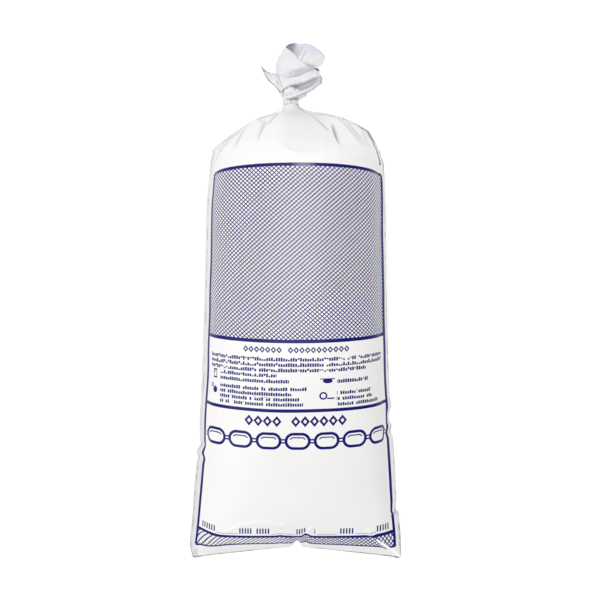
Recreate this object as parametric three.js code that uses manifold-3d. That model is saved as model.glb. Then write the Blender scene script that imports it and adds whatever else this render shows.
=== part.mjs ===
// Sausage meat pack: a tube of plastic film, sealed flat at one end, filled with ground meat,
// then gathered to a neck and tied at the other end, with the spare film crumpled above the tie.
// Millimetres, +Z up. The pack lies on its back with the printed side up and its neck toward +Y.
// The origin is on the floor under the middle of the bounding box.

import * as THREE from 'three';
import { ConvexGeometry } from 'three/addons/geometries/ConvexGeometry.js';
import { mergeVertices } from 'three/addons/utils/BufferGeometryUtils.js';
import Module from 'manifold-3d';

// ---- Driving dimensions ----

const FLAT_WIDTH = 127; // the film tube pressed flat, across
const GIRTH = 2 * FLAT_WIDTH; // film all the way round, the same at every station
const PACK_LENGTH = 301; // seam corners to the top of the tail
const SEAM_Y = -PACK_LENGTH / 2;
const SHOULDER_Y = 78.8; // where the straight body ends and the dome begins
const FUNNEL_Y = 109.8; // where the dome turns into the funnel of the neck
const NECK_Y = 112.9; // where the funnel has closed to the neck
const TIE_TOP_Y = 117.6; // where the film opens again above the tie

// Body: half the width that shows from above, widest at the flat seam.
const BODY_HALF_WIDTH = 49.6;
const SEAM_SPREAD = FLAT_WIDTH / 2 - BODY_HALF_WIDTH;
const SPREAD_LENGTH = 94; // length over which that spread dies away
const SHOULDER_X = 0.9; // sideways lean of the body at the shoulder
const SECTION_POWER = 2.25; // 2 is an ellipse, more is boxier

// Lay-flat fold: the pressed edge of the tube stands out along both sides.
const FOLD_AT_SEAM = 4.6;
const FOLD_AT_SHOULDER = 3.4;
const FOLD_FADE = 60;
const FOLD_SHARPNESS = 0.16;

// Seam end: lifted off the floor, its middle drawn in, with a notch.
const SEAM_LIFT = 10.5;
const SEAM_LIFT_LENGTH = 50;
const SEAM_THICKNESS = 0.6;
const SEAM_OPENING = 5; // length over which the seam opens to the full thickness
const SEAM_ARCH = { depth: 7, fade: 4.5 }; // the filling draws the middle of the seam in
const SEAM_NOTCH = { x: 2, depth: 3, halfWidth: 3, fade: 6 };
const SETTLE = 1.4; // how far the soft filling flattens where it rests

// Dome: the left side slopes sooner than the right.
const DOME_LEFT = { along: 1.6, across: 1.35 };
const DOME_RIGHT = { along: 2.3, across: 1.7 };
const DOME_HEIGHT = { along: 1.7, across: 1.6 };
const PLEATS = 14;
const PLEAT_DEPTH = 1.4;

// Funnel, neck and tie.
const FUNNEL_X = -0.3;
const FUNNEL_RADIUS = 8;
const NECK_X = -2.3;
const NECK_Z = 24;
const NECK_RADIUS = 3.5;
const TIE_GAP = 0.3;
const TIE_THICKNESS = 0.6;
const TIE_WIDTH = 3.4;
const TIE_Y = 115.1;
const TIE_SIDES = 40;

// Mesh fineness.
const ROUND_STEPS = 56;
const BODY_STEPS = 26;
const DOME_STEPS = 14;
const FUNNEL_STEPS = 4;
const TAIL_STEPS_PER_FOLD = 2;
const SAMPLES = 480; // points that trace a section before it is divided evenly
const WELD = 1e-4;

// ---- Film body ----

const BODY_LENGTH = SHOULDER_Y - SEAM_Y;
const DOME_LENGTH = FUNNEL_Y - SHOULDER_Y;
const FUNNEL_LENGTH = NECK_Y - FUNNEL_Y;

const mix = (a, b, t) => a + (b - a) * t;
const clamp = (x) => Math.min(1, Math.max(0, x));
const bell = (x) => Math.exp(-x * x);
const signedPower = (x, p) => Math.sign(x) * Math.abs(x) ** p;
const quarterRound = (t, { along, across }) => Math.max(0, 1 - t ** along) ** (1 / across);

// Half-thickness that an ellipse of this half-width needs to keep the film's girth.
function halfThicknessFor(halfWidth) {
  let low = 0;
  let high = GIRTH / 4;
  for (let i = 0; i < 40; i += 1) {
    const b = (low + high) / 2;
    const a = halfWidth;
    const around = Math.PI * (3 * (a + b) - Math.sqrt((3 * a + b) * (a + 3 * b)));
    if (around < GIRTH) {
      low = b;
    } else {
      high = b;
    }
  }
  return (low + high) / 2;
}

// Everything that sets one ring, from its place along the pack.
function station(y) {
  const fromSeam = y - SEAM_Y;
  const bodyS = Math.min(fromSeam, BODY_LENGTH);
  const dome = clamp((y - SHOULDER_Y) / DOME_LENGTH);
  const funnel = (1 - clamp((y - FUNNEL_Y) / FUNNEL_LENGTH)) ** 2;
  const halfWidth = BODY_HALF_WIDTH + SEAM_SPREAD * Math.exp(-bodyS / SPREAD_LENGTH);
  const opening = 1 - Math.exp(-bodyS / SEAM_OPENING);
  const half = mix(SEAM_THICKNESS / 2, halfThicknessFor(halfWidth), opening);
  const lift = SEAM_LIFT * Math.max(0, 1 - bodyS / SEAM_LIFT_LENGTH) ** 2;
  const foldOut = mix(FOLD_AT_SHOULDER, FOLD_AT_SEAM, Math.exp(-bodyS / FOLD_FADE));
  const rise = quarterRound(dome, DOME_HEIGHT);
  const closed = mix(NECK_RADIUS, FUNNEL_RADIUS, funnel);
  return {
    left: mix(closed, halfWidth, quarterRound(dome, DOME_LEFT)),
    right: mix(closed, halfWidth, quarterRound(dome, DOME_RIGHT)),
    high: mix(closed, half, rise),
    x: mix(mix(NECK_X, FUNNEL_X, funnel), SHOULDER_X * (bodyS / BODY_LENGTH), rise),
    z: mix(NECK_Z, lift + half - SETTLE * opening, rise),
    fold: foldOut * rise,
    power: mix(2, SECTION_POWER, opening * rise),
    dome,
    fromSeam,
  };
}

// One closed section, its points evenly spaced along the film, from the right fold over the top.
function ring(y) {
  const st = station(y);
  const fine = [];
  const length = [];
  for (let i = 0; i <= SAMPLES; i += 1) {
    const angle = (2 * Math.PI * i) / SAMPLES;
    const c = signedPower(Math.cos(angle), 2 / st.power);
    const k = signedPower(Math.sin(angle), 2 / st.power);
    const reach = (c > 0 ? st.right : st.left) - st.fold;
    const ridge = st.fold * bell(Math.sin(angle) / FOLD_SHARPNESS) * Math.sign(c);
    const point = new THREE.Vector2(c * reach + ridge, k * st.high);
    length.push(i === 0 ? 0 : length[i - 1] + point.distanceTo(fine[i - 1]));
    fine.push(point);
  }
  const points = [];
  let j = 0;
  for (let i = 0; i < ROUND_STEPS; i += 1) {
    const want = (length[SAMPLES] * i) / ROUND_STEPS;
    while (length[j + 1] < want) {
      j += 1;
    }
    const f = (want - length[j]) / (length[j + 1] - length[j]);
    points.push(placed(fine[j].clone().lerp(fine[j + 1], f), y, st, i / ROUND_STEPS));
  }
  return points;
}

// A section point set into the pack: pleats in the dome, drawn-in seam, flat back on the floor.
function placed(section, y, st, turn) {
  const gather = Math.sin(Math.PI * st.dome ** 1.3) ** 0.8;
  const tuck = PLEAT_DEPTH * gather * Math.abs(Math.sin(Math.PI * PLEATS * turn));
  const p = section.clone().multiplyScalar(1 - tuck / Math.max(FUNNEL_RADIUS, section.length()));
  const across = section.x / (FLAT_WIDTH / 2);
  const arch = SEAM_ARCH.depth * Math.max(0, 1 - across * across) * Math.exp(-st.fromSeam / SEAM_ARCH.fade);
  const offNotch = (section.x - SEAM_NOTCH.x) / SEAM_NOTCH.halfWidth;
  const notch = SEAM_NOTCH.depth * bell(offNotch) * Math.exp(-st.fromSeam / SEAM_NOTCH.fade);
  const drawnIn = arch + notch;
  return new THREE.Vector3(st.x + p.x, y + drawnIn, Math.max(0, st.z + p.y));
}

// ---- Crumpled tail ----
// The spare film leaves the tie as a short tube. Its front sheet is folded to and fro along the
// named lines and its back sheet hangs in soft bends. Each line is an arc given by its left end,
// middle and right end, measured from the middle of the neck at the top of the tie.

const TAIL_ROOT = new THREE.Vector3(NECK_X, TIE_TOP_Y, NECK_Z);
const FRONT_FOLDS = {
  collar: [[-3.9, 1.4, 2.2], [0.3, 1.6, 4], [4.6, 1.4, 2.2]],
  hem: [[-5, 2.2, 4.4], [5.4, 2.6, 9], [17, 7.1, 7]],
  hollow: [[-5.6, 4.4, 0.6], [4.9, 5.6, -0.5], [16.6, 10, 1.4]],
  ridge: [[-6.8, 5.6, 5], [4.3, 5.6, 9], [17.2, 10.6, 6]],
  valley: [[-7.4, 11.4, 3], [3.2, 13.3, 1.5], [15.4, 14.8, 3]],
  brow: [[-7.6, 12.9, 5], [2.7, 12.7, 13], [13.9, 15.1, 8]],
  rim: [[-2.9, 27.3, 3], [4.9, 20.8, 6.5], [14.4, 15.9, 7]],
};
const BACK_FOLDS = {
  collar: [[-3.9, 1.4, -2.2], [0.3, 1.2, -4], [4.6, 1.4, -2.2]],
  hem: [[-5.4, 3.2, -2.2], [6, 4.6, -9], [14.4, 4.6, 0]],
  hollow: [[-6.6, 4.8, -2.5], [5.4, 9.2, -11], [17.8, 9.2, -0.6]],
  ridge: [[-7.8, 7.4, -2], [5.4, 13.6, -11.5], [18, 11.9, 0]],
  valley: [[-8, 13.5, -2], [4.9, 19.7, -12], [16.4, 15.2, 0]],
  brow: [[-7.6, 20.1, -2], [6, 26.4, -11], [16.4, 17.6, 1]],
  rim: [[-3.4, 29, -3], [7.2, 32.5, -7], [19.6, 22.6, 2.5]],
};
const POCKET_DEPTH = 7; // how far the open end of the tail can be seen into
const FILM_BUNDLE = 1.4; // thickness of the folded film at the open end

// The loose corner of film that points out on the left, and the wisp under the hem on the right.
const LEFT_FLAP = {
  tip: [-16.6, 15.5, 9],
  upper: [-7.4, 13.2, 3.6],
  lower: [-4.4, 0.8, 0.6],
  belly: [-11.6, 7.2, 2.6],
};
const RIGHT_WISP = {
  tip: [10.6, 1.2, 2.6],
  upper: [13.6, 5.4, 4.4],
  lower: [2.8, 0.4, 0.4],
  belly: [7.6, 1.6, -2],
};
const FLAP_THICKNESS = 1.5;

const foldArc = ([left, middle, right]) => {
  const control = middle.map((value, axis) => 2 * value - (left[axis] + right[axis]) / 2);
  return new THREE.QuadraticBezierCurve3(
    new THREE.Vector3(...left).add(TAIL_ROOT),
    new THREE.Vector3(...control).add(TAIL_ROOT),
    new THREE.Vector3(...right).add(TAIL_ROOT),
  );
};

// A ring of the tail runs from the right end over the front sheet to the left end, then back below.
function tailRing(front, back) {
  const half = ROUND_STEPS / 2;
  const points = [];
  for (let i = 0; i < half; i += 1) {
    points.push(front.getPoint(1 - i / half));
  }
  for (let i = 0; i < half; i += 1) {
    points.push(back.getPoint(i / half));
  }
  return points;
}

function tailRings() {
  const names = Object.keys(FRONT_FOLDS);
  const folds = names.map((name) => tailRing(foldArc(FRONT_FOLDS[name]), foldArc(BACK_FOLDS[name])));
  const rings = [];
  folds.forEach((fold, n) => {
    if (n > 0) {
      for (let k = 1; k < TAIL_STEPS_PER_FOLD; k += 1) {
        rings.push(fold.map((p, i) => folds[n - 1][i].clone().lerp(p, k / TAIL_STEPS_PER_FOLD)));
      }
    }
    rings.push(fold);
  });
  return rings;
}

// The open end: the last ring drawn in by the film's thickness, then sunk into the tail.
function pocketRings(rim) {
  const middle = new THREE.Vector3();
  rim.forEach((p) => middle.addScaledVector(p, 1 / rim.length));
  const lip = rim.map((p) => {
    const inward = middle.clone().sub(p);
    return p.clone().addScaledVector(inward.normalize(), FILM_BUNDLE);
  });
  const floor = lip.map((p) => {
    const q = p.clone().lerp(middle, 0.45);
    q.y -= POCKET_DEPTH;
    return q;
  });
  return [lip, floor];
}

// ---- Meshes ----

// Closed solid through a row of rings, each with the same number of points.
function loft(rings) {
  const count = rings[0].length;
  const positions = rings.flat().flatMap((p) => [p.x, p.y, p.z]);
  const index = [];
  for (let r = 0; r + 1 < rings.length; r += 1) {
    for (let i = 0; i < count; i += 1) {
      const a = r * count + i;
      const b = r * count + ((i + 1) % count);
      index.push(a, a + count, b, b, a + count, b + count);
    }
  }
  const last = (rings.length - 1) * count;
  const cap = (first, flip) => {
    const middle = new THREE.Vector3();
    const edge = rings[first / count];
    edge.forEach((p) => middle.addScaledVector(p, 1 / count));
    const tip = positions.length / 3;
    positions.push(middle.x, middle.y, middle.z);
    for (let i = 0; i < count; i += 1) {
      const a = first + i;
      const b = first + ((i + 1) % count);
      index.push(...(flip ? [tip, a, b] : [tip, b, a]));
    }
  };
  cap(0, true);
  cap(last, false);
  const geometry = new THREE.BufferGeometry();
  geometry.setAttribute('position', new THREE.Float32BufferAttribute(positions, 3));
  geometry.setIndex(index);
  return geometry;
}

function bagRings() {
  const rings = [];
  for (let i = 0; i <= BODY_STEPS; i += 1) {
    rings.push(ring(SEAM_Y + BODY_LENGTH * (i / BODY_STEPS) ** 1.5));
  }
  for (let i = 1; i <= DOME_STEPS; i += 1) {
    const t = Math.sin((Math.PI / 2) * (i / DOME_STEPS));
    rings.push(ring(SHOULDER_Y + DOME_LENGTH * t));
  }
  for (let i = 1; i <= FUNNEL_STEPS; i += 1) {
    rings.push(ring(FUNNEL_Y + (FUNNEL_LENGTH * i) / FUNNEL_STEPS));
  }
  rings.push(ring(TIE_TOP_Y));
  const tail = tailRings();
  return [...rings, ...tail, ...pocketRings(tail[tail.length - 1])];
}

// A stiff corner of folded film: the hull of its four corners and of the same corners set back.
function flapGeometry(corners) {
  const points = Object.values(corners).map((corner) => new THREE.Vector3(...corner).add(TAIL_ROOT));
  const back = points.map((p) => p.clone().add(new THREE.Vector3(0, 0, -FLAP_THICKNESS)));
  return new ConvexGeometry([...points, ...back]);
}

// ---- Joining ----

const wasm = await Module();
wasm.setup();

function toSolid(geometry) {
  const bare = geometry.clone();
  bare.deleteAttribute('normal');
  bare.deleteAttribute('uv');
  const merged = mergeVertices(bare, WELD);
  return new wasm.Manifold(new wasm.Mesh({
    numProp: 3,
    vertProperties: new Float32Array(merged.attributes.position.array),
    triVerts: new Uint32Array(merged.index.array),
  }));
}

function toGeometry(solid) {
  const mesh = solid.getMesh();
  const geometry = new THREE.BufferGeometry();
  geometry.setAttribute('position', new THREE.BufferAttribute(mesh.vertProperties, 3));
  geometry.setIndex(new THREE.BufferAttribute(mesh.triVerts, 1));
  geometry.computeVertexNormals();
  return geometry;
}

const bagSolid = toSolid(loft(bagRings()))
  .add(toSolid(flapGeometry(LEFT_FLAP)))
  .add(toSolid(flapGeometry(RIGHT_WISP)));
const film = new THREE.MeshStandardMaterial({ color: 0xf4f4f3, roughness: 0.32, metalness: 0 });
const bag = new THREE.Mesh(toGeometry(bagSolid), film);
bag.name = 'bag';

// Tie: a narrow band round the gathered neck.
function tieGeometry() {
  const inner = NECK_RADIUS + TIE_GAP;
  const outer = inner + TIE_THICKNESS;
  const half = TIE_WIDTH / 2;
  const profile = [
    new THREE.Vector2(inner, -half),
    new THREE.Vector2(outer, -half),
    new THREE.Vector2(outer, half),
    new THREE.Vector2(inner, half),
    new THREE.Vector2(inner, -half),
  ];
  return new THREE.LatheGeometry(profile, TIE_SIDES);
}

const tie = new THREE.Mesh(
  tieGeometry(),
  new THREE.MeshStandardMaterial({ color: 0xe6e6e4, roughness: 0.3, metalness: 0 }),
);
tie.name = 'neck_tie';
tie.position.set(NECK_X, TIE_Y, NECK_Z);

const pack = new THREE.Group();
pack.add(bag, tie);

export default pack;
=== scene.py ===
# %% [markdown]
# # A pack of sausage meat
# The real thing is a tube of white plastic film. One end is welded flat, the meat is pumped in,
# and the other end is gathered to a neck and tied, so that the spare film crumples above the tie.
# It can't stand by itself, so it lies on its back and we look straight down on its print.
# This lesson builds the film, the folded tail, the tie, the print and a small photo studio.

# %% Load the frame
import math

import bmesh
import bpy
from mathutils import Matrix, Vector, noise


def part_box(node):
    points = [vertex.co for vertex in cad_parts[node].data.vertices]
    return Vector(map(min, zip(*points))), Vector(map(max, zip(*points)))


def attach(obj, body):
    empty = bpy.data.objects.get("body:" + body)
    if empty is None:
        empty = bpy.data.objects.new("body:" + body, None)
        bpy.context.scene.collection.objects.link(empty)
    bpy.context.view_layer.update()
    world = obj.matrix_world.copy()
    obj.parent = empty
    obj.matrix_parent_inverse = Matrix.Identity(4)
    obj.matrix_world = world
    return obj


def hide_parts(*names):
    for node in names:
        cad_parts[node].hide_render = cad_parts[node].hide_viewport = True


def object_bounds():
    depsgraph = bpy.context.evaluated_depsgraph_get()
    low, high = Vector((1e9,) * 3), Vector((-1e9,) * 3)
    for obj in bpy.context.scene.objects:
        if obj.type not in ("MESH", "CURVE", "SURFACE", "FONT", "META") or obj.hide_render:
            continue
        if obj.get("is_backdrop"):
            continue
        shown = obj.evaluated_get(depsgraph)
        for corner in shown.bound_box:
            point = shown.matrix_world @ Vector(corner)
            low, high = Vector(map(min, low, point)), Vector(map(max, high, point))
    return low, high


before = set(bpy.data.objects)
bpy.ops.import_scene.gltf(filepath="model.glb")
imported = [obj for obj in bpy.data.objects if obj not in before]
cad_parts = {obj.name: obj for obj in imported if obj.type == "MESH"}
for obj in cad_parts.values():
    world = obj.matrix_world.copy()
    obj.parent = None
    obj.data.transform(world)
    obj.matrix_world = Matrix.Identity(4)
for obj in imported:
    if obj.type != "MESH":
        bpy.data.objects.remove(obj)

cad_low, cad_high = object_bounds()

# %% [markdown]
# ## Sizes
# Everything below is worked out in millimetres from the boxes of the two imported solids: the bag
# gives the flat width, the length and the height, and the tie gives the place of the neck.

# %% Read the driving sizes from the frame
MM = 0.001
bag_low, bag_high = (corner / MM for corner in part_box("bag"))
tie_low, tie_high = (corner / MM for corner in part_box("neck_tie"))

FLAT_WIDTH = bag_high.x - bag_low.x
GIRTH = 2 * FLAT_WIDTH
SEAM_Y = bag_low.y
PACK_LENGTH = bag_high.y - bag_low.y
neck = (tie_low + tie_high) / 2
TIE_RADIUS = (tie_high.x - tie_low.x) / 2
TIE_WIDTH = tie_high.y - tie_low.y
TIE_TO_TAIL, NECK_TO_TIE, TIE_OVER_NECK = 2.5, 2.2, 0.9
TIE_TOP_Y = neck.y + TIE_TO_TAIL
NECK_Y = neck.y - NECK_TO_TIE
NECK_RADIUS = TIE_RADIUS - TIE_OVER_NECK
print("flat width", round(FLAT_WIDTH, 1), "length", round(PACK_LENGTH, 1), "neck at", neck)

# %% [markdown]
# ## Small helpers
# A few short curves do most of the shaping: a straight blend, a bump with soft feet, and the
# quarter of a rounded square that closes the dome. They are ordinary Python, so a size can be
# changed at the top and the whole pack follows.


# %% Shaping helpers
def mix(a, b, t):
    return a + (b - a) * t


def clamp(x):
    return min(1.0, max(0.0, x))


def smooth(x):
    t = clamp(x)
    return t * t * (3 - 2 * t)


def bell(x):
    return math.exp(-x * x)


def signed_power(x, p):
    return math.copysign(abs(x) ** p, x)


def quarter_round(t, powers):
    along, across = powers
    return max(0.0, 1 - t**along) ** (1 / across)


# %% [markdown]
# ## The shape of the filled film
# A film tube can't stretch, so wherever the pack is wide it has to be thin. Each cross-section
# is a soft oval whose half-width we set, and its thickness follows from the film's fixed girth.
# The oval carries a thin fin on each side: the crease that the tube got when it was pressed flat.

# %% Body sizes
SHOULDER_Y = NECK_Y - 34.1
FUNNEL_Y = NECK_Y - 4.6
BODY_LENGTH = SHOULDER_Y - SEAM_Y
DOME_LENGTH = FUNNEL_Y - SHOULDER_Y
FUNNEL_LENGTH = NECK_Y - FUNNEL_Y
BODY_HALF_WIDTH = 49.6
SEAM_SPREAD = FLAT_WIDTH / 2 - BODY_HALF_WIDTH
SPREAD_LENGTH = 94
SHOULDER_X = 0.9
SECTION_POWER = 2.25  # 2 is an ellipse, more is boxier
FOLD_AT_SEAM = 5.0
FOLD_AT_SHOULDER = 4.3
FOLD_FADE = 60
FOLD_DROOP = 1.6
FIN_SHARPNESS, FIN_POWER = 0.09, 1.3
SEAM_LIFT = 10.5
SEAM_LIFT_LENGTH = 50
SEAM_OPENING = 5
SEAM_ARCH, SEAM_ARCH_FADE = 7.0, 9  # how far the filling draws the weld's middle in
SETTLE = 1.4  # how far the soft filling flattens on the table
DOME_POWERS = (1.45, 1.35)  # along the pack and across it, for quarter_round
FUNNEL_X = -0.3
FUNNEL_HEIGHT = 7.0
OUTLINE_BLUR = (-0.6, -0.3, 0.0, 0.3, 0.6)  # the outline is averaged over these places
# millimetres below the neck, reach to the left, reach to the right
DOME_OUTLINE = [
    (0.0, 6.6, 2.3), (1.7, 7.2, 5.2), (3.0, 10.2, 9.0), (4.0, 13.4, 19.0),
    (6.1, 19.8, 26.6), (10.7, 28.0, 36.6), (14.3, 33.6, 42.6), (21.0, 42.3, 46.2),
    (25.3, 46.9, 48.4), (33.0, 48.4, 51.0), (43.0, 49.2, 51.6), (60.0, 50.6, 52.0),
]


# %% One station along the pack
HALVINGS = 40


def half_thickness_for(half_width):
    """What makes an oval of this half width as long round as the film, found by halving."""
    low, high = 0.0, GIRTH / 4
    for _ in range(HALVINGS):
        b = (low + high) / 2
        a = half_width
        around = math.pi * (3 * (a + b) - math.sqrt((3 * a + b) * (a + 3 * b)))
        low, high = (b, high) if around < GIRTH else (low, b)
    return (low + high) / 2


def outline_at(below_neck):
    """How far the pack reaches to the left and to the right at this distance below the neck."""
    for (d0, left0, right0), (d1, left1, right1) in zip(DOME_OUTLINE, DOME_OUTLINE[1:]):
        if below_neck <= d1:
            t = clamp((below_neck - d0) / (d1 - d0))
            return mix(left0, left1, t), mix(right0, right1, t)
    return FLAT_WIDTH, FLAT_WIDTH


def station(y):
    """The measures of the section at this place along the pack."""
    from_seam = y - SEAM_Y
    body = min(from_seam, BODY_LENGTH)
    dome = clamp((y - SHOULDER_Y) / DOME_LENGTH)
    funnel = (1 - clamp((y - FUNNEL_Y) / FUNNEL_LENGTH)) ** 2
    half_width = BODY_HALF_WIDTH + SEAM_SPREAD * math.exp(-body / SPREAD_LENGTH)
    opening = 1 - math.exp(-body / SEAM_OPENING)
    half = half_thickness_for(half_width) * opening
    lift = SEAM_LIFT * max(0.0, 1 - body / SEAM_LIFT_LENGTH) ** 2
    fold = mix(FOLD_AT_SHOULDER, FOLD_AT_SEAM, math.exp(-body / FOLD_FADE))
    rise = quarter_round(dome, DOME_POWERS)
    closed = mix(NECK_RADIUS, FUNNEL_HEIGHT, funnel)
    middle = mix(mix(neck.x, FUNNEL_X, funnel), SHOULDER_X * body / BODY_LENGTH, rise)
    nearby = [outline_at(NECK_Y - y + d) for d in OUTLINE_BLUR]
    reach_left, reach_right = (sum(side) / len(side) for side in zip(*nearby))
    return {
        "left": max(NECK_RADIUS, min(reach_left + middle, half_width)),
        "right": max(NECK_RADIUS, min(reach_right - middle, half_width)),
        "high": mix(closed, half, rise),
        "x": middle,
        "z": mix(neck.z, lift + half - SETTLE * opening, rise),
        "fold": fold * rise,
        "droop": FOLD_DROOP * opening * rise,
        "power": mix(2, SECTION_POWER, opening * rise),
        "dome": dome,
        "rise": rise,
        "from_seam": from_seam,
        "y": y,
    }


print("half thickness of the straight body", round(half_thickness_for(BODY_HALF_WIDTH), 1))

# %% [markdown]
# ## One section of the film
# The oval is walked once in small steps to measure its length, and then read back at the places
# where the film's own millimetres fall. u is a distance round the film: 0 on the front's centre
# line, half the flat width at the side creases, and the whole flat width at the back's centre.

# %% Read a section at film places
SECTION_SAMPLES = 720
CROWDING = 0.45  # brings the samples closer together at the fins
FIN_HANGS_FROM = 0.45  # only the outer part of a fin droops


def turn(u):
    """The share of the way round, counted from the right crease over the front."""
    return (0.25 - u / GIRTH) % 1


def section(st, places):
    """The section's points, sideways and up, at these places round the film."""
    outline = []
    length = [0.0]
    for i in range(SECTION_SAMPLES + 1):
        even = 2 * math.pi * i / SECTION_SAMPLES
        angle = even - CROWDING * math.sin(2 * even)
        c = signed_power(math.cos(angle), 2 / st["power"])
        k = signed_power(math.sin(angle), 2 / st["power"])
        reach = (st["right"] if c > 0 else st["left"]) - st["fold"]
        fin = math.exp(-((abs(math.sin(angle)) / FIN_SHARPNESS) ** FIN_POWER))
        ridge = st["fold"] * fin * math.copysign(1, c)
        hanging = st["droop"] * smooth((fin - FIN_HANGS_FROM) / (1 - FIN_HANGS_FROM))
        outline.append((c * reach + ridge, k * st["high"] - hanging))
        if i:
            length.append(length[-1] + math.dist(outline[-1], outline[-2]))
    found = {}
    j = 0
    for u in sorted(places, key=turn):
        want = length[-1] * turn(u)
        while j < SECTION_SAMPLES - 1 and length[j + 1] < want:
            j += 1
        f = (want - length[j]) / max(1e-9, length[j + 1] - length[j])
        (x0, z0), (x1, z1) = outline[j], outline[j + 1]
        found[u] = (mix(x0, x1, f), mix(z0, z1, f))
    return found


# %% [markdown]
# ## Creases, pleats and dents
# The smooth form alone looks like a balloon. Real film shows where it is pulled: short pleats
# run from the neck, a panel under the neck is drawn flat, and the sealed corners fold. Each of
# these is one path in plan with a width and a depth, and a vertex near it moves in or out.

# %% Crease paths, in plan millimetres
# Each row is a path, its width, depth and drop, its shade, and the half width of that shade. A
# positive depth is a groove and a negative one a ridge. A drop lowers the film on the path's right
# hand, as seen from its first point, and fades out over FACET millimetres. A shade is how dark the
# tight bottom of the pleat is, where too little light gets in.
FACET = 11.0
CREASES = [
    ([(-5.6, 111.6), (-9.2, 107.8), (-14.0, 99.6)], 0.8, 1.0, 1.4, 0.45, 0.85),
    ([(-9.4, 108.9), (-15.6, 106.6), (-21.0, 104.6)], 0.8, 0.6, 0.0, 0.6, 0.85),
    ([(-16.6, 103.0), (-18.0, 97.0), (-19.6, 89.2)], 1.0, 1.3, 0.7, 0.3, 0.85),
    ([(-20.4, 104.0), (-17.0, 101.4), (-13.6, 99.6)], 0.9, 0.7, 0.0, 0.2, 0.85),
    ([(-28.2, 98.4), (-30.0, 93.6), (-32.4, 85.8)], 0.9, 1.4, 0.6, 0.32, 0.85),
    ([(-31.6, 98.8), (-36.6, 93.0), (-41.6, 85.4)], 1.9, 1.7, 0.0, 0.25, 0.85),
    ([(-38.6, 93.6), (-42.4, 87.0), (-45.0, 79.6)], 1.1, 1.1, 0.5, 0.28, 0.85),
    (
        [(2.4, 113.2), (6.3, 108.8), (10.4, 104.8), (14.4, 100.3), (18.4, 95.2)],
        0.8, 1.1, -1.6, 0.6, 0.85,
    ),
    ([(21.2, 99.0), (22.4, 94.0), (24.0, 87.2)], 0.8, 1.9, -0.9, 0.75, 0.85),
    ([(25.6, 104.0), (30.6, 98.0), (35.0, 92.0), (38.0, 87.6)], 0.8, 1.4, -0.7, 0.4, 0.85),
    ([(27.6, 105.6), (30.4, 102.6), (35.6, 95.6), (41.0, 88.0)], 0.9, 1.3, -0.6, 0.4, 0.85),
    ([(39.6, 97.6), (41.6, 93.0), (43.6, 87.6)], 0.9, 0.9, -0.5, 0.3, 0.85),
    ([(9.0, 108.2), (16.0, 108.4), (24.0, 106.0), (33.0, 102.0)], 0.8, 0.9, 0.0, 0.5, 0.85),
    ([(16.0, 97.0), (18.6, 91.0), (19.4, 83.0)], 2.4, 0.4, 0.0, 0.09, 5.0),
    ([(42.4, -131.4), (52.0, -141.4), (60.2, -149.6)], 1.3, -1.4, 0.0, 0.0, 0.85),
    ([(57.0, -124.8), (58.6, -123.4), (60.4, -121.6)], 0.9, 0.8, 0.0, 0.7, 0.85),
    ([(-56.4, -138.6), (-59.8, -148.0)], 1.4, -1.2, 0.0, 0.0, 0.85),
    ([(-42, -133), (-31, -127.8), (-20.6, -125.8), (-7.6, -127.2)], 1.0, -0.5, 0.0, 0.0, 0.85),
    ([(-8.0, -128.0), (-5.6, -126.6)], 0.8, -0.6, 0.0, 0.0, 0.85),
    ([(8.4, -130.2), (9.6, -128.6)], 0.9, -0.9, 0.0, 0.0, 0.85),
    ([(42.2, -134.6), (43.4, -134.0)], 0.7, -0.5, 0.0, 0.0, 0.85),
]


def off_path(x, y, path):
    nearest, along, hand = 1e9, 0.0, 1.0
    for i, ((x0, y0), (x1, y1)) in enumerate(zip(path, path[1:])):
        dx, dy = x1 - x0, y1 - y0
        t = clamp(((x - x0) * dx + (y - y0) * dy) / (dx * dx + dy * dy))
        distance = math.hypot(x - x0 - t * dx, y - y0 - t * dy)
        if distance < nearest:
            nearest, along = distance, (i + t) / (len(path) - 1)
            hand = math.copysign(1, (x - x0) * dy - (y - y0) * dx)
    return nearest, along, hand


TAPER_START, TAPER_SPAN = 0.15, 0.7  # the part of a half wave that a path's strength follows
FELT_WIDTHS, FELT_FACETS = 3, 2.5  # how far off a groove and a drop are still felt
LINE_HALF = 0.4


def crease_at(x, y):
    """How deep the creases are at a plan position, and how dark their bottom is."""
    deep = dark = 0.0
    for path, width, depth, drop, shade, blur in CREASES:
        reach = FELT_WIDTHS * max(blur, width) if drop == 0 else FELT_FACETS * FACET
        ends = zip((x, y), path[0], path[-1])
        if all(min(a, b) - reach < place < max(a, b) + reach for place, a, b in ends):
            distance, t, hand = off_path(x, y, path)
            taper = math.sin(math.pi * (TAPER_START + TAPER_SPAN * t))
            deep += depth * taper * bell(distance / width)
            dark = max(dark, shade * taper * bell(distance / blur))
            if hand * drop > 0 or distance < LINE_HALF:
                step = smooth(distance / width) * math.exp(-distance / FACET)
                deep += abs(drop) * taper * step
    return deep, dark


# %% Dents of the side creases
# Each row is a side, -1 for the left crease, then the dent's place along the pack, its half
# length, its depth inwards (a negative one stands out), and how far over the film it is felt.
# Film that is pushed in rises a little.
DENT_LIFT = 0.5
DENTS = [
    (-1, -76.0, 4.5, 0.6, 4),
    (-1, -81.6, 2.4, 1.3, 5),
    (-1, -86.0, 2.0, -0.9, 12),
    (-1, -90.0, 1.8, 0.5, 12),
    (-1, -105.0, 20.0, -1.0, 3),
    (1, -58.6, 3.0, -0.5, 4),
    (1, -65.0, 3.2, 1.3, 4),
    (1, -68.4, 1.2, 1.2, 4),
    (1, -74.6, 2.2, 1.0, 12),
    (1, -93.0, 24.0, -1.15, 3),
    (1, -118.6, 1.8, 0.7, 5),
    (1, -121.4, 1.2, 1.4, 5),
    (1, -123.4, 2.0, -0.6, 4),
    (1, -133.0, 10.0, -0.9, 3),
]


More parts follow.
